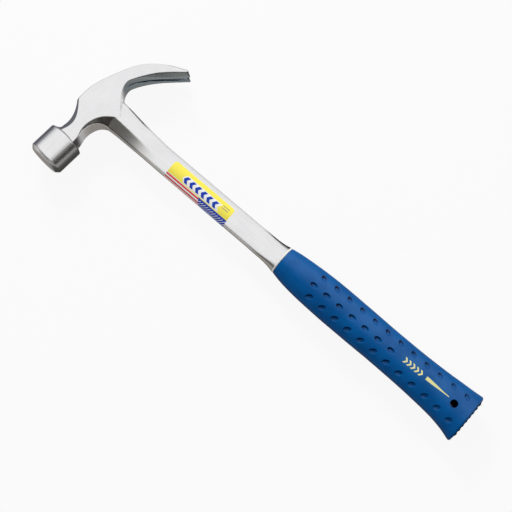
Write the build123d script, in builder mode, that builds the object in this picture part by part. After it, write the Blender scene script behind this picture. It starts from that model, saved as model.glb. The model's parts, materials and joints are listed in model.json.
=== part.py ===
from build123d import *
from math import cos, radians, sin, tan
import os

# A one-piece forged claw hammer lying on its side.
# +X runs up the handle from the butt to the head, +Y points the way the striking face looks, and
# +Z is up out of the cheek. The origin is on the bench, under the middle of the bounding box.
# Drawing coordinates (x, y, z) are measured from where the head's axis crosses the handle's axis,
# so the handle runs down x, the striking face is at +y and the claws are at -y.

# ---- overall ----
overall_length = 406.4  # outside of the poll to the butt
face_reach = 65.2  # handle axis to the crown of the striking face
claw_reach = 67.4  # handle axis to the claw tips

# ---- poll and striking face ----
poll_diameter = 32.0
poll_lean = 3.5  # degrees that the poll's axis leans away from the handle
neck_y = 31.0  # handle axis to the middle of the neck, where the lean starts
poll_back = 8.2  # middle of the neck to the rear edge of the poll
face_chamfer = 2.8
face_crown = 0.7  # rise of the domed face
shoulder_depth = 7.6  # the hollow shoulder behind the poll, along its axis
shoulder_radius = 7.7  # where it dies into the neck
shoulder_sweep = 13.0  # radius of its hollow

# ---- cheeks, neck and claws ----
cheek_thickness = 25.0
edge_break = 1.1  # bevel along the crown and the claws
crown_top = 13.5  # top of the head over its own axis
neck_crown_side = 7.6
neck_handle_side = 7.7
neck_waist = 27.0  # y where the neck is slimmest
neck_flat_top = 2.4  # the flat of the cheek narrows to this strip on the neck
neck_flat_bottom = 5.9
throat_corner = (-22.2, -0.8)  # where the cheek's flat ends over the shank
claw_tip_thickness = 22.4
claw_taper_start = -12.0  # y where the claws begin to get thinner
slot_root = -24.0  # y of the inner end of the nail slot
slot_root_width = 2.2
slot_tip_width = 8.0

# ---- shank ----
shank_width = 20.8
shank_thickness = 14.6
shank_slope = 27.0  # degrees that each broad side falls away from its ridge
shank_ridge_round = 1.15  # the rounds, as shares of half the width there
shank_side_round = 0.48
shank_straight_from = -74.0  # x where the taper from the cheeks ends
root_from = -14.0  # x where the shank starts inside the head
root_width = 25.0
root_thickness = 24.4
root_ridge_y = 2.3  # the ridge there, towards the face
collar_width = 24.8
collar_thickness = 22.6
collar_slope = 28.7
collar_rim = 1.4
flare_length = 29.0  # the shank widens to the collar over this

# ---- tang inside the grip ----
tang_width = 18.0
tang_thickness = 11.0
tang_web = 4.5
tang_flange = 4.0
tang_end_gap = 7.0  # vinyl behind the end of the tang
tang_hole_clearance = 2.4

# ---- grip ----
grip_length = 191.1
grip_width = 33.2  # around the middle
grip_thickness = 26.4
grip_waist_width = 32.6
butt_width = 44.4
butt_thickness = 28.4
butt_hook = 1.7  # how far the heel leans towards the face side
butt_round = 2.4
hang_hole_diameter = 6.1
hang_hole_from_butt = 16.8
hang_hole_y = 0.8
rib_count = 8
rib_height = 0.7
rib_width = 2.6
rib_pitch = 4.3

# ---- label ----
label_start = -80.0
label_length = 63.0
label_film = 0.15
label_corner = 2.6
label_edge = -5.2  # y of the label's straight edge on the upper side
label_under = -3.0  # z where the film ends after going round the shank's edge

# The bounding box puts the drawing's zero here.
poll_radius = poll_diameter / 2
face_rim = poll_radius - face_chamfer
dome_radius = (face_rim**2 + face_crown**2) / (2 * face_crown)
lean = radians(poll_lean)
poll_length = (face_reach - neck_y - dome_radius * (1 - cos(lean))) / cos(lean)
face_corner = poll_length - face_crown - face_chamfer
poll_top = poll_radius * cos(lean) + face_corner * sin(lean)

x0 = overall_length / 2 - poll_top
y0 = (claw_reach - face_reach) / 2
z0 = poll_radius
butt_x = poll_top - overall_length
collar_x = butt_x + grip_length  # end of the bare steel
cheek = cheek_thickness / 2
hang_hole_at = (butt_x + hang_hole_from_butt, hang_hole_y)

poll_plane = Plane(
    origin=(x0, y0 + neck_y, z0), x_dir=(cos(lean), -sin(lean), 0), z_dir=(0, 0, 1)
)


def side_view(z):
    """Plane parallel to the bench at drawing height z, seen from above."""
    return Plane(origin=(x0, y0, z0 + z), x_dir=(1, 0, 0), z_dir=(0, 0, 1))


def handle_section(x, y=0.0):
    """Plane across the handle at drawing x, with its own x along +Y and its own y along +Z."""
    return Plane(origin=(x0 + x, y0 + y, z0), x_dir=(0, 1, 0), z_dir=(1, 0, 0))


def ridged_oval(x, y, width, thickness, ridge_y, face_slope, claw_slope, ridge_share, side_share, film=0):
    """Section across the handle, widest first: a ridge above and below, broad sides that slope
    to the face and to the claws, and rounded edges. The rounds are shares of half the width."""
    half_width = width / 2
    ridge_round = ridge_share * half_width
    ridge = thickness / 2 + ridge_round * (1 / cos(radians(face_slope + claw_slope) / 2) - 1)
    face_edge = ridge - (half_width - ridge_y) * tan(radians(face_slope))
    claw_edge = ridge - (half_width + ridge_y) * tan(radians(claw_slope))
    with BuildSketch(handle_section(x, y)) as section:
        with BuildLine():
            Polyline(
                (ridge_y, ridge), (half_width, face_edge), (half_width, -face_edge),
                (ridge_y, -ridge), (-half_width, -claw_edge), (-half_width, claw_edge), close=True,
            )
        make_face()
        fillet(section.vertices().sort_by(Axis.Y)[0::5], ridge_round)
        sides = section.vertices().group_by(Axis.X)
        fillet(sides[0] + sides[-1], side_share * half_width)
        if film:
            offset(amount=film)
    return section.sketch


os.makedirs("parts", exist_ok=True)

# ---- the forging: poll, neck, cheeks, claws, shank, collar and tang in one piece ----
with BuildPart() as head_shank_forging:
    # Upper half of the head: the flat of the cheek spreads at about 45 degrees down to the middle.
    with BuildSketch(side_view(cheek)):
        with BuildLine():
            outer = Spline(
                (crown_top - edge_break, 9.0), (11.4, -6.0), (4.6, -24.8), (-8.0, -46.9), (-23.2, -59.2),
                (-36.0, 0.9 - claw_reach),
                tangents=((0.05, -1.0), (-0.86, -0.42)),
            )
            tip = Line(outer @ 1, (-37.2, 0.9 - claw_reach))
            inner = Spline(
                tip @ 1, (-28.1, -58.4), (-20.5, -50.6), (-12.5, -39.3), (-7.3, -25.6), (-12.2, -13.9),
                tangents=((0.72, 0.66), (-0.7, 0.7)),
            )
            root = Line(inner @ 1, throat_corner)
            throat = Spline(
                root @ 1, (-9.4, 10.4), (-neck_flat_bottom, 21.0), (-10.6, 38.5),
                tangents=((0.78, 0.62), (-0.5, 0.87)),
            )
            across = Line(throat @ 1, (6.0, 38.5))
            Spline(
                across @ 1, (neck_flat_top, neck_waist), outer @ 0,
                tangents=((-0.55, -0.83), (0.62, -0.78)),
            )
        make_face()
    with BuildSketch(side_view(0)):
        with BuildLine():
            outer = Spline(
                (crown_top - edge_break + cheek, 9.6), (23.8, -7.2), (15.9, -30.2), (1.4, -55.2),
                (-36.0, -14.0 - claw_reach),
                tangents=((0.05, -1.0), (-0.86, -0.42)),
            )
            tip = Line(outer @ 1, (-46.0, 3.0 - claw_reach))
            inner = Spline(
                tip @ 1, (-25.6, -44.8), (-17.4, -34.6), (-12.8, -24.0), (-21.0, -14.0),
                tangents=((0.72, 0.66), (-0.8, 0.6)),
            )
            root = Line(inner @ 1, (throat_corner[0] - 1.4 * cheek, throat_corner[1]))
            throat = Spline(
                root @ 1, (-20.0, 18.5), (-neck_flat_bottom - cheek, 23.0), (-20.0, 38.5),
                tangents=((0.78, 0.62), (-0.2, 0.98)),
            )
            across = Line(throat @ 1, (6.0 + cheek, 38.5))
            Spline(
                across @ 1, (neck_flat_top + cheek, neck_waist), outer @ 0,
                tangents=((-0.55, -0.83), (0.62, -0.78)),
            )
        make_face()
    loft(ruled=True)
    mirror(about=side_view(0))

    # The outline of the head seen from the side.
    with BuildSketch(side_view(-cheek)):
        with BuildLine():
            crown = Spline(
                (crown_top, 10.4), (13.0, -3.6), (5.4, -26.0), (-7.2, -48.2), (-22.8, -60.6),
                (-37.2, -claw_reach),
                tangents=((0.03, -1.0), (-0.88, -0.4)),
            )
            tip = Line(crown @ 1, (-41.4, 1.8 - claw_reach))
            inside = Spline(
                tip @ 1, (-34.8, -58.9), (-22.6, -47.4), (-11.8, -35.8), (-7.2, -26.6), (-10.8, -17.4),
                (-40.0, -11.4),
                tangents=((0.7, 0.68), (-1.0, 0.05)),
            )
            end = Line(inside @ 1, (-40.0, 10.2))
            under = Spline(
                end @ 1, (-23.0, 9.9), (-12.0, 14.2), (-neck_handle_side, 26.0), (-8.8, 40.0),
                tangents=((1.0, 0.0), (0.0, 1.0)),
            )
            across = Line(under @ 1, (8.6, 40.0))
            Spline(
                across @ 1, (neck_crown_side, neck_waist), crown @ 0,
                tangents=((0.0, -1.0), (0.62, -0.78)),
            )
        make_face()
    extrude(amount=cheek_thickness, mode=Mode.INTERSECT)

    # The claws get thinner towards their tips, and the nail slot runs up between them.
    for side in (1, -1):
        with BuildSketch(handle_section(-60)):
            with BuildLine():
                Polyline(
                    (claw_taper_start, side * cheek), (-claw_reach - 1, side * claw_tip_thickness / 2),
                    (-claw_reach - 1, side * (cheek + 5)), (claw_taper_start, side * (cheek + 5)), close=True,
                )
            make_face()
        extrude(amount=100, mode=Mode.SUBTRACT)
    with BuildSketch(handle_section(-60)):
        with BuildLine():
            Polyline(
                (-claw_reach - 1, slot_tip_width / 2), (slot_root, slot_root_width / 2),
                (slot_root, -slot_root_width / 2), (-claw_reach - 1, -slot_tip_width / 2), close=True,
            )
        make_face()
        with Locations((slot_root, 0)):
            Circle(slot_root_width / 2)
    extrude(amount=100, mode=Mode.SUBTRACT)

    # Poll with its shoulder, bevel and slightly domed striking face, turned about its own axis.
    with BuildSketch(poll_plane):
        with BuildLine():
            Line((0, poll_back - shoulder_depth), (0, poll_length))
            rim = (face_rim, poll_length - face_crown)
            dome = RadiusArc((0, poll_length), rim, dome_radius)
            edge = Polyline(rim, (poll_radius, face_corner), (poll_radius, poll_back))
            shoulder = RadiusArc(
                edge @ 1, (shoulder_radius, poll_back - shoulder_depth), -shoulder_sweep
            )
            Line(shoulder @ 1, (0, poll_back - shoulder_depth))
        make_face()
    revolve(axis=Axis(poll_plane.origin, poll_plane.y_dir))

    # Root of the shank: from the corner of the cheek a sharp ridge runs down and softens. The side
    # towards the claws carries on from the flat of the cheek; the side towards the face is steep.
    # Rows: share of the way down, offset in y, shares of the root's extra width and thickness and
    # of its ridge's offset, the two slopes and the two rounds.
    shank = (shank_width, shank_thickness, 0, shank_slope, shank_slope, shank_ridge_round, shank_side_round)
    for down, y, wider, thicker, aside, face_slope, claw_slope, ridge_share, side_share in (
        (0, -0.6, 1.0, 1.0, 1.0, 42.0, 10.0, 0.08, 0.16),
        (0.17, -1.2, 0.57, 0.95, 1.0, 41.0, 11.0, 0.09, 0.18),
        (0.37, -0.8, 0.33, 0.63, 0.85, 38.0, 14.0, 0.18, 0.24),
        (0.6, -0.4, 0.14, 0.29, 0.5, 33.0, 20.0, 0.47, 0.34),
        (0.82, -0.1, 0.02, 0.06, 0.15, 28.5, 25.0, 0.91, 0.45),
    ):
        add(
            ridged_oval(
                root_from + down * (shank_straight_from - root_from), y,
                shank_width + wider * (root_width - shank_width),
                shank_thickness + thicker * (root_thickness - shank_thickness),
                aside * root_ridge_y, face_slope, claw_slope, ridge_share, side_share,
            )
        )
    add(ridged_oval(shank_straight_from, 0, *shank))
    loft()

    # Plain shank, then the flare up to the collar and its rim.
    flare_from = collar_x + flare_length
    add(ridged_oval(flare_from, 0, *shank))
    extrude(amount=shank_straight_from - flare_from, dir=(1, 0, 0))
    add(ridged_oval(flare_from, 0, *shank))
    for along, wider, thicker, slope, ridge_share, side_share in (
        (0.55, 0.1, 0.175, 27.5, 1.18, 0.55),
        (0.22, 0.45, 0.575, 28.0, 1.15, 0.72),
    ):
        add(
            ridged_oval(
                collar_x + along * flare_length, 0,
                shank_width + wider * (collar_width - shank_width),
                shank_thickness + thicker * (collar_thickness - shank_thickness),
                0, slope, slope, ridge_share, side_share,
            )
        )
    collar = (collar_width, collar_thickness, 0, collar_slope, collar_slope, 1.13, 0.82)
    add(ridged_oval(collar_x + collar_rim, 0, *collar))
    loft()
    add(ridged_oval(collar_x, 0, *collar))
    extrude(amount=collar_rim, dir=(1, 0, 0))

    # Tang: an I-section with a clearance hole round the hanging hole.
    with BuildSketch(handle_section(collar_x)):
        RectangleRounded(tang_width, tang_thickness, 2.0)
        for side in (1, -1):
            with Locations((0, side * (tang_web + tang_thickness) / 2)):
                Rectangle(tang_width - 2 * tang_flange, tang_thickness, mode=Mode.SUBTRACT)
    extrude(amount=butt_x + tang_end_gap - collar_x)
    with Locations(side_view(0)):
        with Locations(hang_hole_at):
            Cylinder(hang_hole_diameter / 2 + tang_hole_clearance, tang_thickness * 2, mode=Mode.SUBTRACT)

head_shank_forging.part.label = "head_shank_forging"
export_step(head_shank_forging.part, "parts/head_shank_forging.step")

# ---- the grip: vinyl moulded over the tang, with a hanging hole and a ribbed butt ----
with BuildPart() as grip_sleeve:
    # Oval sections from the collar to the butt: share of the length, width, thickness, offset in y.
    sections = (
        (0.0, collar_width, collar_thickness, 0.0),
        (0.08, 29.6, 24.8, 0.2),
        (0.23, grip_width - 0.2, grip_thickness, 0.0),
        (0.39, grip_width, grip_thickness, 0.0),
        (0.57, grip_waist_width, grip_thickness - 0.2, 0.0),
        (0.77, 34.2, grip_thickness + 0.4, 0.0),
        (0.905, 38.0, butt_thickness - 0.8, 0.2),
        (1.0, butt_width, butt_thickness, butt_hook),
    )
    for share, width, thickness, offset_y in sections:
        with BuildSketch(handle_section(collar_x - share * (grip_length - rib_height), offset_y)):
            Ellipse(width / 2, thickness / 2)
    loft()
    fillet(grip_sleeve.faces().sort_by(Axis.X)[0].edges(), butt_round)

    # Ribs across the butt.
    with BuildSketch(handle_section(butt_x, butt_hook)):
        with GridLocations(rib_pitch, 0, rib_count, 1):
            RectangleRounded(rib_width, butt_thickness * 0.5, rib_width * 0.45)
    extrude(amount=2 * rib_height)

    add(head_shank_forging.part, mode=Mode.SUBTRACT)
    with Locations(side_view(0)):
        with Locations(hang_hole_at):
            Cylinder(hang_hole_diameter / 2, 2 * butt_thickness, mode=Mode.SUBTRACT)

grip_sleeve.part.label = "grip_sleeve"
export_step(grip_sleeve.part, "parts/grip_sleeve.step")

# ---- the label: a thin film wrapped over the face-side edge of the shank ----
with BuildPart() as shank_label:
    add(
        ridged_oval(
            label_start, 0, shank_width, shank_thickness, 0, shank_slope, shank_slope,
            shank_ridge_round, shank_side_round, label_film,
        )
    )
    extrude(amount=label_length, dir=(-1, 0, 0))
    with BuildSketch(side_view(label_under)):
        with Locations((label_start - label_length / 2, label_edge + shank_width)):
            RectangleRounded(label_length, 2 * shank_width, label_corner)
    extrude(amount=shank_thickness, mode=Mode.INTERSECT)
    add(head_shank_forging.part, mode=Mode.SUBTRACT)

shank_label.part.label = "shank_label"
export_step(shank_label.part, "parts/shank_label.step")
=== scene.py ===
import json
import math
from functools import reduce
from operator import mul

import bmesh
import bpy
import numpy as np
from mathutils import Matrix, Vector
from mathutils.bvhtree import BVHTree


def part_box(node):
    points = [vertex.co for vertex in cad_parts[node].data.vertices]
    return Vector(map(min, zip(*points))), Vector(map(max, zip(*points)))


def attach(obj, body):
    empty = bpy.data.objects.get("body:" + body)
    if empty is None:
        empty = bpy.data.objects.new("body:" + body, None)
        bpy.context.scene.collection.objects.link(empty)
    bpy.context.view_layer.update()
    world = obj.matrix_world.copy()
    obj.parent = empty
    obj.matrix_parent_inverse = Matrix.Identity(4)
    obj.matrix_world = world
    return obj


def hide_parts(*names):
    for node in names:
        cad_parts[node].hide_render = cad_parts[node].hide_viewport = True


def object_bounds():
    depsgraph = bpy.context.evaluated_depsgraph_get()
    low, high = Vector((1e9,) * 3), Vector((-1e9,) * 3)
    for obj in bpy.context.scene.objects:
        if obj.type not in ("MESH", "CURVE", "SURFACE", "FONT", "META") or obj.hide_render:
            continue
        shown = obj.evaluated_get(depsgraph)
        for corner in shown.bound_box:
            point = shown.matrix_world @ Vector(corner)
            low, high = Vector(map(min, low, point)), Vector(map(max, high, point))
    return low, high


# Claw hammer lying on its side. Metres: x runs from the butt to the head, the striking face looks
# along +y, the claws are at -y, and z is up out of the cheek.
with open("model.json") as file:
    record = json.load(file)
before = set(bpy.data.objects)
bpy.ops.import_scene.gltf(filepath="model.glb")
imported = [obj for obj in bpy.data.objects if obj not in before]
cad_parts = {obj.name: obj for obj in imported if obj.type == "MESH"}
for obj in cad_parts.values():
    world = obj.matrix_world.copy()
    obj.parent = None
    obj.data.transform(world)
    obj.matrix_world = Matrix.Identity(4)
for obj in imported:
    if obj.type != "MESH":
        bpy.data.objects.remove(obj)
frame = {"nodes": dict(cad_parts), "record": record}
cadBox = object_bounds()
scene = bpy.context.scene
mm = 0.001

print("stage: frame loaded")


# node trees

class Wire:
    # one output in a node tree; sums of wires add Math nodes
    def __init__(self, board, socket):
        self.board, self.socket = board, socket

    def __add__(self, other):
        return self.board.maths("ADD", self, other)

    def __sub__(self, other):
        return self.board.maths("SUBTRACT", self, other)

    def __rsub__(self, other):
        return self.board.maths("SUBTRACT", other, self)

    def __mul__(self, other):
        return self.board.maths("MULTIPLY", self, other)

    def __truediv__(self, other):
        return self.board.maths("DIVIDE", self, other)

    def __rtruediv__(self, other):
        return self.board.maths("DIVIDE", other, self)

    def __pow__(self, other):
        return self.board.maths("POWER", self, other)

    def __neg__(self):
        return self.board.maths("MULTIPLY", self, -1.0)

    __radd__, __rmul__ = __add__, __mul__

    def of(self, operation, *others):
        return self.board.maths(operation, self, *others)

    def other(self, name):
        return Wire(self.board, self.socket.node.outputs[name])

    def limit(self, low, high):
        return self.of("MAXIMUM", low).of("MINIMUM", high)

    def toward(self, other, share):
        return self * (1.0 - share) + other * share

    def fade(self, low, high, bottom=0.0, top=1.0):
        # runs smoothly from bottom to top while the value goes from low to high
        values = {"Value": self, "From Min": low, "From Max": high, "To Min": bottom, "To Max": top}
        return self.board.node("ShaderNodeMapRange", {"interpolation_type": "SMOOTHSTEP"}, values)

    def fall(self, low, high):
        return self.fade(low, high, 1.0, 0.0)

    def within(self, low, high, soft):
        return self.fade(low - soft, low + soft) * self.fall(high - soft, high + soft)


class Board:
    # a node tree while it is wired up
    def __init__(self, tree):
        self.tree = tree

    def node(self, kind, settings=None, values=None, output=0):
        made = self.tree.nodes.new(kind)
        for name, value in (settings or {}).items():
            if name == "curve":
                points = made.mapping.curves[0].points
                while len(points) < len(value):
                    points.new(0.5, 0.5)
                for point, place in zip(points, value):
                    point.location = place
                made.mapping.update()
            else:
                setattr(made, name, value)
        for name, value in (values or {}).items():
            if isinstance(value, Wire):
                self.tree.links.new(value.socket, made.inputs[name])
            else:
                made.inputs[name].default_value = value
        return Wire(self, made.outputs[output]) if made.outputs else None

    def maths(self, operation, *values):
        return self.node("ShaderNodeMath", {"operation": operation}, dict(enumerate(values)))

    def mix(self, share, first, second):
        first, second = ((*c, 1.0) if isinstance(c, tuple) else c for c in (first, second))
        return self.node("ShaderNodeMix", {"data_type": "RGBA"}, {0: share, 6: first, 7: second}, 2)

    def joined(self, **parts):
        return self.node("ShaderNodeCombineXYZ", {}, parts)

    def split(self, vector):
        # the x of a vector; other("Y") and other("Z") give the rest
        return self.node("ShaderNodeSeparateXYZ", {}, {0: vector})

    def place(self):
        return self.node("ShaderNodeTexCoord", {}, {}, "Object")

    def facing(self):
        # which way the surface looks, split
        return self.split(self.node("ShaderNodeNewGeometry", {}, {}, "Normal"))

    def attribute(self, name):
        return self.node("ShaderNodeAttribute", {"attribute_name": name}, {}, "Fac")

    def noise(self, place, scale, detail=3.0, roughness=0.5):
        values = {"Vector": place, "Scale": scale, "Detail": detail, "Roughness": roughness}
        return self.node("ShaderNodeTexNoise", {}, values)

    def stretched(self, place, scale):
        return self.noise(self.node("ShaderNodeMapping", {}, {"Vector": place, "Scale": scale}), 1.0)

    def bump(self, height, distance):
        return self.node("ShaderNodeBump", {}, {"Height": height, "Distance": distance, "Strength": 1.0})

    def diffuse(self, colour):
        return self.node("ShaderNodeBsdfDiffuse", {}, {"Color": (*colour, 1.0)})

    def seenPlain(self):
        # 1 for what the camera, a mirror or glass sees, 0 for what carries light on
        path = self.node("ShaderNodeLightPath")
        return (path + path.other("Is Glossy Ray") + path.other("Is Transmission Ray")).of("MINIMUM", 1.0)

    def surface(self, kind, values):
        self.node("ShaderNodeOutputMaterial", {}, {"Surface": self.node(kind, {}, values)})


def openNodes(owner):
    # an empty node tree for a material or the world
    owner.use_nodes = True
    owner.node_tree.nodes.clear()
    return Board(owner.node_tree)


def fromHole(x, y):
    # distance from the axis of the hanging hole
    return ((x - hangHole["pos_m"][0]) ** 2.0 + (y - hangHole["pos_m"][1]) ** 2.0) ** 0.5


# meshes

def newPiece(name, mesh):
    piece = bpy.data.objects.new(name, mesh)
    scene.collection.objects.link(piece)
    return piece


def meshFrom(name, points, faces):
    mesh = bpy.data.meshes.new(name)
    mesh.from_pydata([tuple(p) for p in points], [], faces)
    mesh.update()
    return mesh


def settle(piece):
    # makes what the modifiers show the piece's own mesh
    graph = bpy.context.evaluated_depsgraph_get()
    shown = piece.evaluated_get(graph)
    mesh = bpy.data.meshes.new_from_object(shown, preserve_all_data_layers=True, depsgraph=graph)
    piece.modifiers.clear()
    old, piece.data = piece.data, mesh
    mesh.name = old.name
    bpy.data.meshes.remove(old)


def smoothShade(piece, angle):
    mesh = piece.data
    mesh.polygons.foreach_set("use_smooth", [True] * len(mesh.polygons))
    mesh.set_sharp_from_angle(angle=math.radians(angle))


def outwardFaces(piece):
    body = bmesh.new()
    body.from_mesh(piece.data)
    bmesh.ops.recalc_face_normals(body, faces=body.faces[:])
    body.to_mesh(piece.data)
    body.free()


def cutWith(piece, cutter, operation="DIFFERENCE"):
    cut = piece.modifiers.new("cut", "BOOLEAN")
    cut.operation, cut.object, cut.solver = operation, cutter, "MANIFOLD"
    settle(piece)
    bpy.data.objects.remove(cutter)


def turned(name, profile, centre, sides):
    # a closed solid turned about a vertical axis from (radius, height) points, lowest first
    points, faces = [], []
    for radius, height in profile:
        for k in range(sides):
            turn = 2 * math.pi * k / sides
            x, y = centre[0] + radius * math.cos(turn), centre[1] + radius * math.sin(turn)
            points.append((x, y, centre[2] + height))
    for ring in range(len(profile) - 1):
        for k in range(sides):
            a, b = ring * sides + k, ring * sides + (k + 1) % sides
            faces.append((a, b, b + sides, a + sides))
    faces.append(tuple(reversed(range(sides))))
    faces.append(tuple(range(len(points) - sides, len(points))))
    return newPiece(name, meshFrom(name, points, faces))


# where things are

cadForging = frame["nodes"]["head_shank_forging"].data
forgingLow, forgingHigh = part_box("head_shank_forging")
gripLow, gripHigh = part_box("grip_sleeve")
labelLow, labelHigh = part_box("shank_label")
seamX = gripHigh.x
nearSeam = 0.01 * mm  # a point this near to the seam is on it
rimPoints = np.array([v.co for v in cadForging.vertices if abs(v.co.x - seamX) < nearSeam])
handleY, handleZ = ((rimPoints.min(0) + rimPoints.max(0)) / 2)[1:].tolist()
hangHole = next(m for m in frame["record"]["mounts"] if m["name"] == "hang_hole")
boreRadius = hangHole["dims"]["r_mm"] * mm

# the forging

forging = {
    "merge": 0.002 * mm,  # points of the CAD mesh this close are one
    "voxel": 0.6 * mm,
    "smoothing": 6,
    "tangOverlap": 0.8 * mm,
    "overlapShare": 0.6,  # the overlap shrinks to this, so that it is inside the collar, clear of its skin
    "hardAngle": 60,
}


def forgingCopy(x, side):
    # a closed copy of what the CAD forging has on one side of x, with the cut capped
    body = bmesh.new()
    body.from_mesh(cadForging)
    bmesh.ops.remove_doubles(body, verts=body.verts, dist=forging["merge"])
    everything = body.verts[:] + body.edges[:] + body.faces[:]
    plane = {"plane_co": (x, 0, 0), "plane_no": (-side, 0, 0)}
    bmesh.ops.bisect_plane(body, geom=everything, clear_outer=True, **plane)
    bmesh.ops.holes_fill(body, edges=[e for e in body.edges if e.is_boundary])
    mesh = bpy.data.meshes.new("head_shank_forgingCopy")
    body.to_mesh(mesh)
    body.free()
    return mesh


def makeForging():
    head = newPiece("steelForging", forgingCopy(seamX, 1))
    grain = head.modifiers.new("even", "REMESH")
    grain.mode, grain.voxel_size = "VOXEL", forging["voxel"]
    polish = head.modifiers.new("polish", "SMOOTH")
    polish.factor, polish.iterations = 0.5, forging["smoothing"]
    settle(head)
    tang = newPiece("tang", forgingCopy(seamX + forging["tangOverlap"], -1))
    for v in tang.data.vertices:
        if v.co.x > seamX - nearSeam:
            v.co.y = handleY + (v.co.y - handleY) * forging["overlapShare"]
            v.co.z = handleZ + (v.co.z - handleZ) * forging["overlapShare"]
    cutWith(head, tang, "UNION")
    smoothShade(head, forging["hardAngle"])
    return head


steelForging = makeForging()
print("stage: forging", len(steelForging.data.polygons), "faces")

# the grip

grip = {
    "rows": 476,
    "around": 176,
    "crowding": 0.34,  # how much closer the columns stand above and below
    "sections": (  # share of the length, width, thickness, offset in y
        (0.0, 24.8, 22.6, 0.0),
        (0.08, 29.6, 24.8, 0.2),
        (0.23, 33.0, 26.4, 0.0),
        (0.39, 33.2, 26.4, 0.0),
        (0.57, 32.6, 26.2, 0.0),
        (0.77, 34.2, 26.8, 0.0),
        (0.905, 38.0, 27.6, 0.2),
        (1.0, 44.4, 28.4, 1.7),
    ),
    "Heel Round": 2.4 * mm,
    "frontFan": 0.4 * mm,  # how much of the sheet closes the front
    "buttFan": 17.0 * mm,  # and the butt
    "Dimple Length": 6.8 * mm,
    "Dimple Width": 4.1 * mm,
    "Dimple Depth": 1.5 * mm,
    "Dimple Pitch": 13.08 * mm,
    "First Dimple": 35.4 * mm,
    "dimpleWall": (0.62, 0.98),  # shares of the oval between which its wall rises
    "dimpleRows": (  # degrees round from +y, slant, how many, start after the first, where the painted shade on the lip begins
        (51.4, -38.0, 12, 0.0, 0.05),
        (86.5, 0.0, 7, -2.8 * mm, 0.5),
        (123.3, 34.0, 12, 0.0, 0.5),
    ),
    "lipWidth": 0.24,  # shares of the oval over which the painted shade on the lip darkens, and pales again
    "lipEnd": (0.92, 1.08),
    "lipSide": (0.8, 0.6),  # the painted shade lies away from the striking face's side, and from the butt
    "lipTurn": (-0.2, 0.5),
    "lipWorn": (110 * mm, 180 * mm, 1.0, 0.6),  # the painted shade fades towards the butt
    "Rib Height": 0.7 * mm,
    "Rib Width": 2.6 * mm,
    "Rib Pitch": 4.3 * mm,
    "Rib Count": 8.0,
    "ribSpan": 0.5,  # share of the butt's thickness
    "ribSide": (0.6, 1.05),  # shares of a rib's half width, and of its half length, where it slopes
    "ribEnd": (0.9, 1.02),
    "ribsFrom": (1.3, 1.5),  # radians round the heel where the ribs begin
    "touching": 0.003 * mm,  # points this close are one
    "seam": 0.03 * mm,
    "cavityOverlap": 2 * mm,
    "holeLip": 0.2 * mm,
    "drillFlare": 4 * mm,  # how far the drill goes on past the grip, and widens
    "drillSides": 48,
    "hardAngle": 50,
}


def gripDimples(size, distance, fold, halfWidth, halfThickness):
    # how deep a place lies in a dimple, and how much painted shade it gets on its lip, from 0 to 1
    dent = lip = None
    for rowAngle, slant, count, shift, lipFrom in grip["dimpleRows"]:
        middle = math.radians(rowAngle)
        reach = ((halfWidth * math.sin(middle)) ** 2.0 + (halfThickness * math.cos(middle)) ** 2.0) ** 0.5
        walked = distance - size["First Dimple"] - shift
        nearest = (walked / size["Dimple Pitch"]).of("ROUND").limit(0.0, float(count - 1))
        down = walked - nearest * size["Dimple Pitch"]
        over = (fold - middle) * reach
        c, s = math.cos(math.radians(slant)), math.sin(math.radians(slant))
        lengthwise = (down * c - over * s) / (size["Dimple Length"] / 2)
        widthwise = (down * s + over * c) / (size["Dimple Width"] / 2)
        ring = (lengthwise ** 2.0 + widthwise ** 2.0) ** 0.5
        oval = ring.fall(*grip["dimpleWall"])
        dent = oval if dent is None else dent.of("MAXIMUM", oval)
        offFace, offButt = grip["lipSide"]
        side = (over * offFace - down * offButt) / (size["Dimple Width"] / 2)
        wall = ring.fade(lipFrom, lipFrom + grip["lipWidth"]) * ring.fall(*grip["lipEnd"])
        wall = wall * side.fade(*grip["lipTurn"])
        lip = wall if lip is None else lip.of("MAXIMUM", wall)
    return dent, lip * distance.fade(*grip["lipWorn"])


def gripRibs(size, ribY, ribZ, bend, halfThickness):
    # 1 on the ribs across the flat of the butt
    limit = (size["Rib Count"] - 1.0) / 2
    index = ((ribY / size["Rib Pitch"] - 0.5).of("ROUND") + 0.5).limit(-limit, limit)
    offRib = (ribY - index * size["Rib Pitch"]).of("ABSOLUTE") / (size["Rib Width"] / 2)
    offEnd = ribZ.of("ABSOLUTE") / (halfThickness * grip["ribSpan"])
    return offRib.fall(*grip["ribSide"]) * offEnd.fall(*grip["ribEnd"]) * bend.fade(*grip["ribsFrom"])


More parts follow.
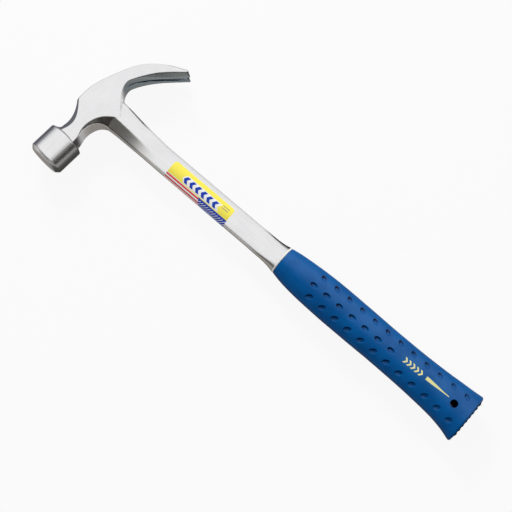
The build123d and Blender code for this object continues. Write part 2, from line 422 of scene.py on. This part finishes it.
def gripTree():
    tree = bpy.data.node_groups.new("gripRule", "GeometryNodeTree")
    tree.is_modifier = True
    tree.interface.new_socket("Geometry", in_out="OUTPUT", socket_type="NodeSocketGeometry")
    sizes = {
        "Length": gripHigh.x - gripLow.x - grip["Rib Height"] - grip["seam"],
        "Front X": gripHigh.x - grip["seam"],
        "Middle Y": handleY,
        "Middle Z": handleZ,
    }
    sizes.update({name: size for name, size in grip.items() if name[0].isupper()})
    for name in sizes:
        tree.interface.new_socket(name, in_out="INPUT", socket_type="NodeSocketFloat")
    tree.interface.new_socket("Vinyl", in_out="INPUT", socket_type="NodeSocketMaterial")
    board = Board(tree)
    given = board.node("NodeGroupInput")
    size = {name: given.other(name) for name in sizes}
    length, heel = size["Length"], size["Heel Round"]

    counts = {"Vertices X": grip["rows"], "Vertices Y": grip["around"] + 1}
    sheet = board.node("GeometryNodeMeshGrid", {}, counts)
    along = board.split(sheet.other("UV Map"))
    across = along.other("Y")

    # the profile: a short fan at the front, the side, the heel's round and the flat butt
    fan, flat, quarter = grip["frontFan"], grip["buttFan"], math.pi / 2
    side = length - heel
    walk = along * (side + heel * quarter + fan + flat) - fan
    bend = ((walk - side) / heel).limit(0.0, quarter)
    distance = walk.limit(0.0, side) + heel * bend.of("SINE")
    inset = heel * (1.0 - bend.of("COSINE"))
    frontShrink = (1.0 + walk / fan).limit(0.0, 1.0)
    buttShrink = 1.0 - ((walk - side - heel * quarter) / flat).limit(0.0, 1.0)
    shrink = frontShrink * buttShrink

    # the sections, as curves whose top stands for this many millimetres
    top, share = 50.0, distance / length
    curves = [[(s, row[k] / top) for s, *row in grip["sections"]] for k in range(3)]
    halfWidth, halfThickness, lean = (
        board.node("ShaderNodeFloatCurve", {"curve": curve}, {"Value": share}) * factor * mm
        for curve, factor in zip(curves, (top / 2, top / 2, top))
    )
    turn = across * (2 * math.pi)
    angle = turn + (turn * 2.0).of("SINE") * (grip["crowding"] / 2)
    cosine, sine = angle.of("COSINE"), angle.of("SINE")
    ribY = (halfWidth - inset) * shrink * cosine
    ribZ = (halfThickness - inset) * shrink * sine
    fold = sine.of("ABSOLUTE").of("ARCTAN2", cosine)  # the rows above are mirrored below
    dent, lip = gripDimples(size, distance, fold, halfWidth, halfThickness)
    rib = gripRibs(size, ribY, ribZ, bend, halfThickness)

    depth = dent * size["Dimple Depth"]
    outward = board.joined(Y=halfThickness * cosine, Z=halfWidth * sine)
    outward = board.split(board.node("ShaderNodeVectorMath", {"operation": "NORMALIZE"}, {0: outward}))
    position = board.joined(
        X=size["Front X"] - distance - rib * size["Rib Height"],
        Y=size["Middle Y"] + lean + ribY - outward.other("Y") * depth,
        Z=size["Middle Z"] + ribZ - outward.other("Z") * depth,
    )
    shaped, stored = sheet, {"data_type": "FLOAT", "domain": "POINT"}
    for name, value in (("dent", dent), ("lip", lip)):
        values = {"Geometry": shaped, "Name": name, "Value": value}
        shaped = board.node("GeometryNodeStoreNamedAttribute", stored, values)
    for step, values in (
        ("SetPosition", {"Position": position}),
        ("MergeByDistance", {"Distance": grip["touching"]}),
        ("RealizeInstances", {}),
        ("SetMaterial", {"Material": given.other("Vinyl")}),
    ):
        shaped = board.node("GeometryNode" + step, {}, {"Geometry": shaped, **values})
    board.node("NodeGroupOutput", {}, {"Geometry": shaped})
    return tree, sizes


def makeGrip(material):
    tree, sizes = gripTree()
    piece = newPiece("vinylGrip", bpy.data.meshes.new("vinylGrip"))
    modifier = piece.modifiers.new("rule", "NODES")
    modifier.node_group = tree
    sockets = {s.name: s.identifier for s in tree.interface.items_tree if s.in_out == "INPUT"}
    for name, value in {**sizes, "Vinyl": material}.items():
        modifier[sockets[name]] = value
    settle(piece)
    outwardFaces(piece)
    return piece


def drillGrip(piece):
    # the tang's cavity and the hanging hole, with a softened lip at both ends
    cutWith(piece, newPiece("cavity", forgingCopy(seamX + grip["cavityOverlap"], -1)))
    radius, lip, flare = boreRadius, grip["holeLip"], grip["drillFlare"]
    reach = hangHole["dims"]["length_mm"] * mm / 2
    below = [(radius + lip + flare, -reach - flare), (radius + lip, -reach), (radius, -reach + 1.5 * lip)]
    above = [(r, -height) for r, height in reversed(below)]
    cutWith(piece, turned("drill", below + above, hangHole["pos_m"], grip["drillSides"]))
    smoothShade(piece, grip["hardAngle"])


vinyl = bpy.data.materials.new("satinVinyl")
gripSleeve = makeGrip(vinyl)
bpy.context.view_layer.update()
drillGrip(gripSleeve)
print("stage: grip drilled", len(gripSleeve.data.polygons), "faces")

# the label

label = {
    "columns": 126,
    "rows": 48,
    "corner": 2.6 * mm,
    "film": 0.11 * mm,
    "under": 0.03 * mm,
    "sweep": (165, -75, 481),  # degrees round the shank that are searched for its edges, and the looks
    "outside": 30 * mm,  # from the shank's axis, and surely off its skin
    "hardAngle": 50,
}


def makeLabel():
    body = bmesh.new()
    body.from_mesh(steelForging.data)
    steel = BVHTree.FromBMesh(body)
    body.free()

    def skin(x, angle):
        # the steel's skin at a place along the shank and round it, and which way it looks
        away = Vector((0, math.cos(angle), math.sin(angle)))
        return steel.ray_cast(Vector((x, handleY, handleZ)) + away * label["outside"], -away)[:2]

    # arc length round the shank from the straight edge above to the edge below
    middle = (labelLow.x + labelHigh.x) / 2
    start, end, looks = label["sweep"]
    sweep = np.linspace(math.radians(start), math.radians(end), looks)
    spots = np.array([skin(middle, a)[0] for a in sweep])
    first = int(np.argmax(spots[:, 1] > labelLow.y))
    last = int(np.argmax((spots[:, 1] > handleY) & (spots[:, 2] < labelLow.z)))
    sweep, spots = sweep[first:last + 1], spots[first:last + 1]
    arc = np.concatenate([[0], np.cumsum(np.linalg.norm(np.diff(spots, axis=0), axis=1))])
    length, width, corner = labelHigh.x - labelLow.x, arc[-1], label["corner"]
    columns, rows = label["columns"], label["rows"]

    points, art = [], []
    for layer in (label["film"], label["under"]):
        for i in range(columns + 1):
            fromHead = length * i / columns
            toEnd = min(fromHead, length - fromHead)
            pull = corner - math.sqrt(max(corner ** 2 - max(corner - toEnd, 0) ** 2, 0))
            for j in range(rows + 1):
                down = pull + (width - 2 * pull) * j / rows
                spot, normal = skin(labelHigh.x - fromHead, float(np.interp(down, arc, sweep)))
                points.append(spot + normal * layer)
                art.append((fromHead, down))

    # the two skins and the rim between them
    stride, half = rows + 1, len(points) // 2
    faces = []
    for i in range(columns):
        for j in range(rows):
            a, b = i * stride + j, (i + 1) * stride + j
            faces += [(a, a + 1, b + 1, b), (half + b, half + b + 1, half + a + 1, half + a)]
    rim = [(i, 0) for i in range(columns)] + [(columns, j) for j in range(rows)]
    rim += [(i, rows) for i in range(columns, 0, -1)] + [(0, j) for j in range(rows, 0, -1)]
    loop = [i * stride + j for i, j in rim]
    faces += [(a, b, half + b, half + a) for a, b in zip(loop, loop[1:] + loop[:1])]

    piece = newPiece("shankLabel", meshFrom("shankLabel", points, faces))
    uv = piece.data.uv_layers.new(name="artwork")
    corners = np.zeros(len(piece.data.loops), int)
    piece.data.loops.foreach_get("vertex_index", corners)
    uv.data.foreach_set("uv", (np.array(art)[corners] / mm).ravel())
    outwardFaces(piece)
    smoothShade(piece, label["hardAngle"])
    print("stage: label", round(width / mm, 1), "mm round the shank")
    return piece


shankLabel = makeLabel()

# finish of the forging

# Only pale and dull are the steel's own colour. The other colours are painted reflections and shade, set
# by which way the surface looks and where it is; most are dark, and rim is a painted highlight.
steelLook = {
    "pale": (0.83, 0.83, 0.84),  # two tones of the steel's own colour, where the surface looks up
    "dull": (0.77, 0.77, 0.78),
    "tones": (0.32, 0.68),
    "flankReflection": (0.40, 0.375, 0.34),  # painted dark reflection where the surface doesn't look up, towards the striking face
    "throat": (0.135, 0.13, 0.12),  # the same below the cheek
    "clawSideReflection": (0.84, 0.84, 0.84),  # the same on the side of the claws
    "rootReflection": (0.16, 0.16, 0.16),  # and there where the shank widens into the head
    "neckReflection": (0.15, 0.155, 0.18),  # painted dark reflection on the crown side of the neck and the poll
    "pollReflection": (0.22, 0.205, 0.18),  # handle side of the poll
    "pollUnderReflection": (0.075, 0.075, 0.07),  # and lower down on it
    "underClawReflection": (0.24, 0.26, 0.26),
    "collarFaceReflection": (0.34, 0.32, 0.28),  # side of the collar towards the striking face
    "collarEdgeReflection": (0.10, 0.095, 0.09),  # and higher up on it
    "collarClawReflection": (0.02, 0.02, 0.022),  # side of the collar towards the claws
    # painted shade in the slot between the claws
    "slot": (0.22, 0.26, 0.28),
    "tips": (0.03, 0.03, 0.03),
    "rim": (0.90, 0.88, 0.83),  # painted highlight: a pale ring beside the grip
    "edgeTint": (0.42, 0.41, 0.42),  # what is left of a reflection seen at a low angle
    "shankStreaks": (60, 700, 700),  # how fine they are along x, y and z
    "headStreaks": (700, 80, 700),
    "scratches": 0.002 * mm,
    "clouds": 45.0,
    "roughness": 0.28,
    "streakRoughness": 0.06,
    "cloudRoughness": 0.08,
    "lacquer": 0.03,
    "lacquerRoughness": 0.12,
}

# Where each painted reflection, shade and highlight lies, and where the steel keeps its own colour:
# a measure, its value where the zone begins, and where it is whole. In mm: down from the top of the
# head, above the seam, out from the handle's axis to the striking face, off the middle plane, and over
# the claw tips. From -1 to 1, which way the surface looks: up or down, to the striking face's side, and to
# the crown.
steelZones = {
    "head": (("down", 53.2, 31.2),),
    "slot": (("off", 4.6, 4.1), ("out", -21.0, -23.0)),
    "poll": (("out", 30.0, 36.0),),
    "faceBevel": (("front", 0.35, 0.6),),
    "neck": (("crown", -0.1, 0.35), ("out", 2.0, 12.0)),
    "collar": (("above", 30.0, 16.0),),
    "root": (("down", 87.2, 61.2), ("front", 0.1, 0.4), ("out", 20.0, 14.0)),
    "rootReflection": (("down", 69.2, 55.2), ("down", 37.2, 42.2)),
    "clawEdge": (("front", -0.1, -0.3),),
    # where the surface looks up the steel keeps its own colour; elsewhere it gets painted reflections
    "polish": (("up", 0.30, 0.94),),
    "rootOwnColour": (("up", 0.76, 0.99),),
    "clawOwnColour": (("up", 0.80, 0.97),),
    "neckOwnColour": (("up", 0.70, 0.95),),
    "collarOwnColour": (("up", 0.60, 0.85),),
    "throat": (("down", 79.2, 53.2), ("up", 0.45, 0.62)),
    "front": (("front", -0.4, 0.4),),
    "underClawReflection": (("out", -14.0, -24.0), ("crown", 0.2, -0.2)),
    "pollUpper": (("up", 0.44, 0.60),),
    "pollReflection": (("crown", -0.05, -0.4),),
    "collarUpper": (("up", 0.46, 0.68),),
    "collarFront": (("front", -0.2, 0.2),),
    "tips": (("overTips", 2.8, 1.4),),
    "rim": (("above", 1.6, 1.4),),
}


def steelMaterial():
    material = bpy.data.materials.new("forgedSteel")
    board = openNodes(material)
    look, place = steelLook, board.place()
    x, facing = board.split(place), board.facing()
    measures = {
        "down": (forgingHigh.x - x) / mm,
        "above": (x - seamX) / mm,
        "out": (x.other("Y") - handleY) / mm,
        "off": (x.other("Z") - handleZ).of("ABSOLUTE") / mm,
        "overTips": (x.other("Y") - forgingLow.y) / mm,
        "up": facing.other("Z").of("ABSOLUTE"),
        "front": facing.other("Y"),
        "crown": facing,
    }

    def zone(name):
        shares = []
        for measure, begins, whole in steelZones[name]:
            value = measures[measure]
            shares.append(value.fade(begins, whole) if begins < whole else value.fall(whole, begins))
        return reduce(mul, shares)

    downShank = board.stretched(place, look["shankStreaks"])
    roundHead = board.stretched(place, look["headStreaks"])
    streak = downShank.toward(roundHead, zone("head"))
    cloud = board.noise(place, look["clouds"], 4.0, 0.55)
    tone = (streak * 0.5 + cloud * 0.5).fade(*look["tones"])

    slot, poll, collar = zone("slot"), zone("poll"), zone("collar")
    root, rootReflection = zone("root"), zone("rootReflection")
    neck = zone("neck") * (1.0 - poll * zone("faceBevel"))
    # the steel's own colour where the surface looks up; painted reflections and shade take the rest
    ownColour = zone("polish").toward(zone("rootOwnColour"), root)
    ownColour = ownColour.toward(zone("clawOwnColour"), rootReflection * zone("clawEdge"))
    ownColour = ownColour.toward(zone("neckOwnColour"), neck) * (1.0 - slot)
    ownColour = ownColour.toward(zone("collarOwnColour"), collar)

    # painted reflections on surfaces that don't look up, by side and place
    side = board.mix(rootReflection, look["clawSideReflection"], look["rootReflection"])
    flankReflection = board.mix(zone("throat") * root, look["flankReflection"], look["throat"])
    pollReflection = board.mix(zone("pollUpper"), look["pollUnderReflection"], look["pollReflection"])
    collarFaceReflection = board.mix(zone("collarUpper"), look["collarFaceReflection"], look["collarEdgeReflection"])
    paintedReflection = board.mix(zone("front"), side, flankReflection)
    for share, finish in (
        (zone("underClawReflection"), look["underClawReflection"]),
        (poll * zone("pollReflection"), pollReflection),
        (neck, look["neckReflection"]),
        (collar, board.mix(zone("collarFront"), look["collarClawReflection"], collarFaceReflection)),
        (slot, look["slot"]),
        (zone("tips"), look["tips"]),
    ):
        paintedReflection = board.mix(share, paintedReflection, finish)
    colour = board.mix(ownColour, paintedReflection, board.mix(tone, look["dull"], look["pale"]))
    # painted highlight: a pale, non-metal ring beside the grip
    rim = zone("rim")
    uneven = (streak - 0.5) * look["streakRoughness"] + (cloud - 0.5) * look["cloudRoughness"]
    board.surface("ShaderNodeBsdfPrincipled", {
        "Base Color": board.mix(rim, colour, look["rim"]),
        "Metallic": 1.0 - rim,
        "Roughness": look["roughness"] + uneven,
        "Specular Tint": (*look["edgeTint"], 1.0),
        "Coat Weight": look["lacquer"],
        "Coat Roughness": look["lacquerRoughness"],
        "Normal": board.bump(streak, look["scratches"]),
    })
    return material


# finish of the grip

vinylLook = {
    "colour": (0.001, 0.100, 0.335),
    "deep": (0.001, 0.078, 0.275),
    "clouds": 60.0,
    "cloudTones": (0.3, 0.7),
    # colour of the painted shade in the dimples and on the sides
    "dent": (0.0005, 0.006, 0.040),
    "lipShade": 0.98,  # painted shade: how far a dimple's lip and the rest of its wall go towards that
    "wallShade": 0.35,
    "sideShade": 0.65,  # painted shade, darker where the surface turns to the side
    "sideFrom": (0.12, 0.5),  # how far up the surface looks there: all of it, none
    "buttAndBoreShade": (0.002, 0.003, 0.006),  # painted shade on the ribs of the butt and the wall of the hanging hole
    "darkRoughness": 0.45,  # added there
    "ribsFrom": 1.5 * mm,  # the butt is painted dark within this of its end
    "ribsFade": 0.4 * mm,
    "ribsHalf": 18.0 * mm,
    "roughness": 0.5,
    "cloudRoughness": 0.12,
    "grains": 1700.0,
    "grainRoughness": 0.10,
    "grainDepth": 0.02 * mm,
    "shine": 0.05,
    "handled": 0.9,  # sheen where the hand has smoothed it
    "handledRoughness": 0.45,
    "handledFrom": (-0.8, -0.3),  # how far that looks to the striking face's side, from and to
    "handledTo": (-0.2, 0.35),
    "handledClouds": (0.2, 0.6, 0.6, 1.0),
    "floor": (0.88, 1.0),  # how deep the floor of a dimple is, which shines a little
    "floorSheen": (0.1, 0.5, 0.25, 0.0),
}

gripMark = {  # a plain printed mark, chevrons and a bar; in mm, lengths from the seam
    "colour": (0.80, 0.78, 0.36),
    "from": 125.0,
    "middle": -0.6,
    "half": (2.3, 2.5),
    "lean": 0.8,
    "chevronPitch": 3.8,
    "chevronWidth": (0.42, 0.46),  # shares of the pitch
    "chevronsLong": 18.4,
    "bar": (145.5, 168.0),
    "barHalf": (1.5, 0.35),
    "above": (4.0, 5.0),  # over the handle's axis, so only on the upper side
    "wornGrains": 2400.0,
    "worn": (0.2, 0.32),
}


def markShare(board, place, x):
    mark = gripMark
    down = (seamX - x) / mm
    off = ((x.other("Y") - handleY) / mm - mark["middle"]).of("ABSOLUTE")
    walk = down - mark["from"] + off * mark["lean"]
    stripe = (walk / mark["chevronPitch"]).of("FRACT").fall(*mark["chevronWidth"])
    chevrons = off.fall(*mark["half"]) * walk.within(0.0, mark["chevronsLong"], 0.05) * stripe
    half = down.fade(*mark["bar"], *mark["barHalf"])
    bar = down.within(*mark["bar"], 0.1) * (off - half).fall(-0.1, 0.05)
    above = ((x.other("Z") - handleZ) / mm).fade(*mark["above"])
    worn = board.noise(place, mark["wornGrains"], 2.0).fade(*mark["worn"])
    return chevrons.of("MAXIMUM", bar) * above * worn


def vinylMaterial(material):
    board = openNodes(material)
    look, place = vinylLook, board.place()
    x, facing = board.split(place), board.facing()
    y, faceFront = x.other("Y"), facing.other("Y")
    dent, lip = board.attribute("dent"), board.attribute("lip")
    cloud = board.noise(place, look["clouds"], 4.0, 0.55)
    grain = board.noise(place, look["grains"], 3.0, 0.6)
    colour = board.mix(cloud.fade(*look["cloudTones"]), look["deep"], look["colour"])
    # painted shade on the dimples' walls and lips
    wall = (dent * (1.0 - dent) * 4.0).of("MINIMUM", 1.0)
    shade = (lip * look["lipShade"]).of("MAXIMUM", wall * look["wallShade"])
    colour = board.mix(shade, colour, look["dent"])

    # painted shade: near black on the wall of the hanging hole and on the ribs at the end of the butt
    bore = fromHole(x, y).fall(boreRadius, boreRadius + 2 * grip["holeLip"])
    edge = gripLow.x + look["ribsFrom"]
    middleY = handleY + grip["sections"][-1][3] * mm
    ribs = x.fall(edge - look["ribsFade"], edge)
    ribs = ribs * (y - middleY).of("ABSOLUTE").fall(look["ribsHalf"], look["ribsHalf"] + mm)
    buttAndBoreShade = bore.of("MAXIMUM", ribs)
    colour = board.mix(buttAndBoreShade, colour, look["buttAndBoreShade"])
    colour = board.mix(markShare(board, place, x), colour, gripMark["colour"])
    # painted shade towards the sides of the grip
    sideShadeShare = facing.other("Z").of("ABSOLUTE").fade(*look["sideFrom"], look["sideShade"], 0.0)
    colour = board.mix(sideShadeShare, colour, look["dent"])

    handled = faceFront.fade(*look["handledFrom"]) * faceFront.fall(*look["handledTo"])
    handled = handled * cloud.fade(*look["handledClouds"])
    handled = handled.of("MAXIMUM", dent.fade(*look["floor"]) * faceFront.fade(*look["floorSheen"]))
    uneven = (cloud - 0.5) * look["cloudRoughness"] + (grain - 0.5) * look["grainRoughness"]
    board.surface("ShaderNodeBsdfPrincipled", {
        "Base Color": colour,
        "Roughness": look["roughness"] + uneven + buttAndBoreShade * look["darkRoughness"],
        "Specular IOR Level": look["shine"],
        "Coat Weight": handled * (1.0 - buttAndBoreShade) * look["handled"],
        "Coat Roughness": look["handledRoughness"],
        "Normal": board.bump(grain, look["grainDepth"]),
    })


# finish of the label

labelLook = {  # a plain striped design of our own; in mm from the head end and from the upper edge
    "yellow": (0.96, 0.84, 0.11),
    "blue": (0.005, 0.045, 0.42),
    "red": (0.78, 0.03, 0.03),
    "white": (0.90, 0.90, 0.90),
    "grey": (0.25, 0.25, 0.24),
    "soft": 0.12,  # half the blur of the print's edges
    "middle": 7.4,  # of the white lane and its chevrons
    "lean": 0.75,
    "lane": (13.2, 50.0),
    "laneHalf": 3.5,
    "chevrons": (14.2, 48.6),
    "chevronHalf": 2.9,
    "firstChevron": 14.4,
    "chevronPitch": 6.0,
    "chevronWidth": 0.52,  # share of the pitch
    "lowFrom": 11.6,  # white below this, with stripes towards the head
    "stripes": ((12.2, 13.6), (15.0, 16.4), (17.8, 19.2)),
    "bandFrom": 26.0,  # a hatched band towards the grip
    "bandLean": 0.6,
    "hatch": (13.0, 18.6),
    "hatchPitch": 2.6,
    "hatchWidth": 0.26,
    "rules": ((3.4, 4.0), (5.4, 6.0)),
    "rulesLong": (53.0, 59.5),
    "roughness": 0.3,
    "ripples": 220.0,
    "rippleRoughness": 0.1,
    "rippleDepth": 0.02 * mm,
    "shine": 0.2,
}


def labelMaterial():
    material = bpy.data.materials.new("printedFilm")
    board = openNodes(material)
    look, soft = labelLook, labelLook["soft"]
    u = board.split(board.node("ShaderNodeUVMap", {"uv_map": "artwork"}))
    v = u.other("Y")
    middle = (v - look["middle"]).of("ABSOLUTE")
    lean = u - middle * look["lean"]

    def laneShare(ends, half):
        return lean.within(*ends, soft) * middle.fall(half - soft, half + soft)

    chevron = ((lean - look["firstChevron"]) / look["chevronPitch"]).of("FRACT")
    chevron = chevron.within(0.0, look["chevronWidth"], 0.02)
    low = v.fade(look["lowFrom"] - soft, look["lowFrom"] + soft)
    band = low * (u - v * look["bandLean"]).fade(look["bandFrom"] - soft, look["bandFrom"] + soft)
    hatch = ((u + v) / look["hatchPitch"]).of("FRACT").within(0.0, look["hatchWidth"], 0.03)
    rulesLong = u.within(*look["rulesLong"], soft)
    colour = look["yellow"]
    for share, ink in (
        (laneShare(look["lane"], look["laneHalf"]), "white"),
        (chevron * laneShare(look["chevrons"], look["chevronHalf"]), "blue"),
        (low, "white"),
        *((v.within(*ends, soft), "red") for ends in look["stripes"]),
        (band, "blue"),
        (hatch * v.within(*look["hatch"], soft) * band, "white"),
        *((v.within(*ends, soft) * rulesLong, "grey") for ends in look["rules"]),
    ):
        colour = board.mix(share, colour, look[ink])
    ripple = board.noise(board.place(), look["ripples"], 2.0)
    board.surface("ShaderNodeBsdfPrincipled", {
        "Base Color": colour,
        "Roughness": look["roughness"] + (ripple - 0.5) * look["rippleRoughness"],
        "Specular IOR Level": look["shine"],
        "Normal": board.bump(ripple, look["rippleDepth"]),
    })
    return material


def dress(piece, material, node):
    piece.data.materials.clear()
    piece.data.materials.append(material)
    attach(piece, "root")
    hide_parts(node)


vinylMaterial(vinyl)
dress(steelForging, steelMaterial(), "head_shank_forging")
dress(gripSleeve, vinyl, "grip_sleeve")
dress(shankLabel, labelMaterial(), "shank_label")
print("stage: finishes")

# studio

studio = {
    "floorReach": 6.0,
    "floorColour": (0.60, 0.60, 0.60),
    "floorGlow": 0.91,  # share of the floor that shows plain white
    "holeShadowRadius": 3.5 * mm,  # painted shadow spot: no glow within this of the hanging hole's axis, below the grip, so the floor's rendered shade shows there
    "keyPlace": (1.5, -1.0, 1.2),
    "keySize": 0.6,
    "keyBrightness": 29.0,
    "keyAim": (0.05, 0, 0),
    "sky": 0.62,
    "flagRadius": 2.6,
    "flagSides": 96,
    "flagFoot": 0.02,
    "flagColour": (0.10, 0.09, 0.08),
    "flagFade": (0.3, 1.0),  # shares of a flag's height between which it thins out to nothing
    "flagRise": (  # degrees round from +x, height of the dark flag in degrees above the floor
        (0.0, 4.0), (40.0, 20.0), (75.0, 20.0), (110.0, 24.0), (150.0, 52.0), (180.0, 64.0), (215.0, 34.0),
        (245.0, 8.0), (265.0, 4.0), (360.0, 4.0),
    ),
}


def makeFloor():
    reach = studio["floorReach"]
    corners = [(-reach, -reach, 0), (reach, -reach, 0), (reach, reach, 0), (-reach, reach, 0)]
    floor = newPiece("floor", meshFrom("floor", corners, [(0, 1, 2, 3)]))
    material = bpy.data.materials.new("paleFloor")
    board = openNodes(material)
    x = board.split(board.place())
    # painted shadow spot under the hanging hole, where only the floor's rendered shade is left
    clear = fromHole(x, x.other("Y")).fade(studio["holeShadowRadius"], studio["holeShadowRadius"] + mm)
    glow = board.node("ShaderNodeEmission", {}, {"Color": (1, 1, 1, 1), "Strength": 1.0})
    glowing = board.seenPlain() * clear * studio["floorGlow"]
    board.surface("ShaderNodeMixShader", {0: glowing, 1: board.diffuse(studio["floorColour"]), 2: glow})
    floor.data.materials.append(material)
    return floor


def makeFlags():
    # a ring of dark cloth round the floor, which the steel mirrors
    points, faces = [], []
    rise, radius, sides = np.array(studio["flagRise"]), studio["flagRadius"], studio["flagSides"]
    for k in range(sides):
        turn = 360.0 * k / sides
        height = radius * math.tan(math.radians(float(np.interp(turn, rise[:, 0], rise[:, 1]))))
        spot = (radius * math.cos(math.radians(turn)), radius * math.sin(math.radians(turn)))
        points += [(*spot, studio["flagFoot"]), (*spot, height)]
        a, b = 2 * k, 2 * ((k + 1) % sides)
        faces.append((b, a, a + 1, b + 1))
    flags = newPiece("darkFlags", meshFrom("darkFlags", points, faces))
    up = flags.data.attributes.new("up", "FLOAT", "POINT")
    up.data.foreach_set("value", [0.0, 1.0] * sides)
    material = bpy.data.materials.new("flagCloth")
    board = openNodes(material)
    thin = board.attribute("up").fade(*studio["flagFade"])
    clear = board.node("ShaderNodeBsdfTransparent", {}, {"Color": (1, 1, 1, 1)})
    board.surface("ShaderNodeMixShader", {0: thin, 1: board.diffuse(studio["flagColour"]), 2: clear})
    flags.data.materials.append(material)
    flags.visible_camera = False
    return flags


def makeKey():
    place, size = studio["keyPlace"], studio["keySize"]
    lamp = bpy.data.lights.new("key", "AREA")
    lamp.shape, lamp.size = "SQUARE", size
    lamp.energy = studio["keyBrightness"] * math.pi * size ** 2
    key = bpy.data.objects.new("key", lamp)
    scene.collection.objects.link(key)
    key.location = place
    key.rotation_euler = (Vector(studio["keyAim"]) - Vector(place)).to_track_quat("-Z", "Y").to_euler()
    key.visible_camera = key.visible_glossy = False


def makeSky():
    world = bpy.data.worlds.new("studio")
    board = openNodes(world)
    strength = studio["sky"] + board.seenPlain() * (1.0 - studio["sky"])
    sky = board.node("ShaderNodeBackground", {}, {"Color": (1, 1, 1, 1), "Strength": strength})
    board.node("ShaderNodeOutputWorld", {}, {"Surface": sky})
    scene.world = world


floor, flags = makeFloor(), makeFlags()
makeKey()
makeSky()
print("stage: studio")

# camera

view = {
    "azimuth": -144.298,
    "elevation": 77.832,
    "roll": 5.35,
    "lens": 93.708,
    "sensor": 36.0,
    "distance": 1.06346,
    "aim": (6.705 * mm, 12.132 * mm, 0.0),  # from the middle of the object
    "clip": (0.05, 50.0),
}


def makeCamera():
    low, high = cadBox
    aim = (low + high) / 2 + Vector(view["aim"])
    turn, climb = math.radians(view["azimuth"]), math.radians(view["elevation"])
    back = Vector((math.sin(turn) * math.cos(climb), -math.cos(turn) * math.cos(climb), math.sin(climb)))
    lens = bpy.data.cameras.new("camera")
    lens.lens, lens.sensor_width = view["lens"], view["sensor"]
    lens.clip_start, lens.clip_end = view["clip"]
    camera = bpy.data.objects.new("camera", lens)
    scene.collection.objects.link(camera)
    camera.rotation_mode = "QUATERNION"
    camera.location = aim + back * view["distance"]
    spin = Matrix.Rotation(math.radians(view["roll"]), 4, "Z").to_quaternion()
    camera.rotation_quaternion = (-back).to_track_quat("-Z", "Y") @ spin
    scene.camera = camera


makeCamera()
scene.view_settings.view_transform = "Standard"

print("stage: done")
